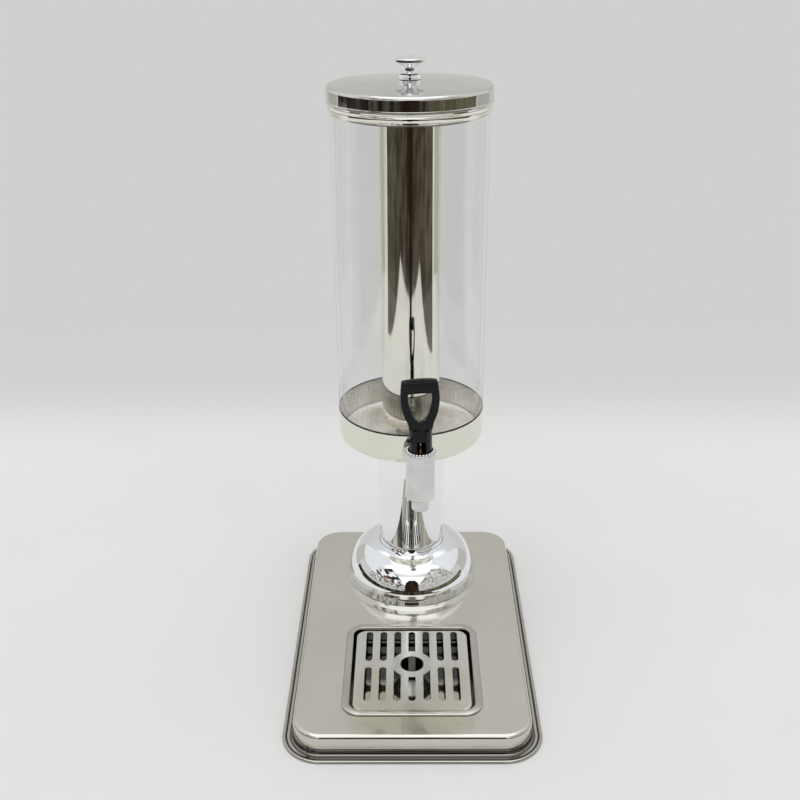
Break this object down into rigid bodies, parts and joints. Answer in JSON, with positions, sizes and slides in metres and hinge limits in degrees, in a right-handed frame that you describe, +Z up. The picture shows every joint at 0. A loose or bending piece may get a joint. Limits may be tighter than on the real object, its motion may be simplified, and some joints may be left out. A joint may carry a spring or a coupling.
{
  "type": "cold drink dispenser",
  "caption": "Single-tank cold drink dispenser: clear tank with ice tube on a chromed column, sheet steel base with drip pan, self-closing tap.",
  "frame": {"origin": "on the table, under the middle of the base", "axes": "+Z up, -Y towards the tap and the drip pan, +X to the right as seen from the front"},
  "size_m": [0.26, 0.397, 0.6205],
  "materials": {
    "satin_steel": "satin, finely brushed",
    "polished_steel": "mirror polished",
    "chrome": "mirror",
    "clear_plastic": "clear and glossy",
    "black_plastic": "satin gloss",
    "black_rubber": "matt",
    "white_silicone": "matt",
    "plain_steel": "plain",
    "brass": "turned"
  },
  "bodies": {
    "stand": {"base_tray": "satin_steel", "rubber_foot_front_left": "black_rubber", "rubber_foot_front_right": "black_rubber", "rubber_foot_back_left": "black_rubber", "rubber_foot_back_right": "black_rubber", "column_foot": "chrome", "column_tube": "polished_steel", "column_cap": "plain_steel", "column_locator": "plain_steel", "rod_washer": "plain_steel", "rod_nut": "plain_steel", "tie_rod": "plain_steel", "tank_pan": "polished_steel", "tank_seal": "black_rubber", "tank_cylinder": "clear_plastic", "tank_trim_ring": "polished_steel", "ice_tube": "polished_steel", "ice_tube_base": "polished_steel", "ice_tube_hub": "plain_steel", "hub_gasket": "white_silicone", "tap_body": "chrome", "tap_spout": "chrome", "tap_outer_washer": "black_rubber", "tap_inner_washer": "white_silicone", "tap_lock_nut": "chrome", "tap_bonnet": "black_plastic", "lever_pin": "plain_steel", "spring_plate": "brass", "return_spring": "plain_steel"},
    "lid": {"lid_shell": "polished_steel", "lid_inner_ring": "plain_steel", "lid_knob": "chrome", "knob_washer": "plain_steel", "knob_screw": "plain_steel"},
    "drip_pan": {"drip_pan": "polished_steel"},
    "drip_grille": {"drip_grille": "satin_steel"},
    "tap_lever": {"tap_lever": "black_plastic"},
    "tap_valve": {"valve_stem": "brass", "valve_cup": "white_silicone"}
  },
  "joints": [
    {"name": "lid_lift", "type": "slide", "parent": "stand", "child": "lid", "axis": [0, 0, 1], "range_m": [0, 0.12]},
    {"name": "drip_pan_lift", "type": "slide", "parent": "stand", "child": "drip_pan", "axis": [0, 0, 1], "range_m": [0, 0.05]},
    {"name": "drip_grille_lift", "type": "slide", "parent": "drip_pan", "child": "drip_grille", "axis": [0, 0, 1], "range_m": [0, 0.04]},
    {"name": "lever_tilt", "type": "hinge", "parent": "stand", "child": "tap_lever", "pos_m": [0.01017, -0.01857, 0.26], "axis": [0.9963, 0.0854, 0], "range_deg": [0, 35], "stiffness_Nm_per_rad": 0.08, "springref_deg": -11.46},
    {"name": "valve_lift", "type": "slide", "parent": "stand", "child": "tap_valve", "axis": [0, 0, 1], "range_m": [0, 0.0042], "deforming": ["return_spring"]}
  ],
  "couplings": [
    {"joint": "valve_lift", "follows": "lever_tilt", "m_per_rad": 0.00657}
  ]
}
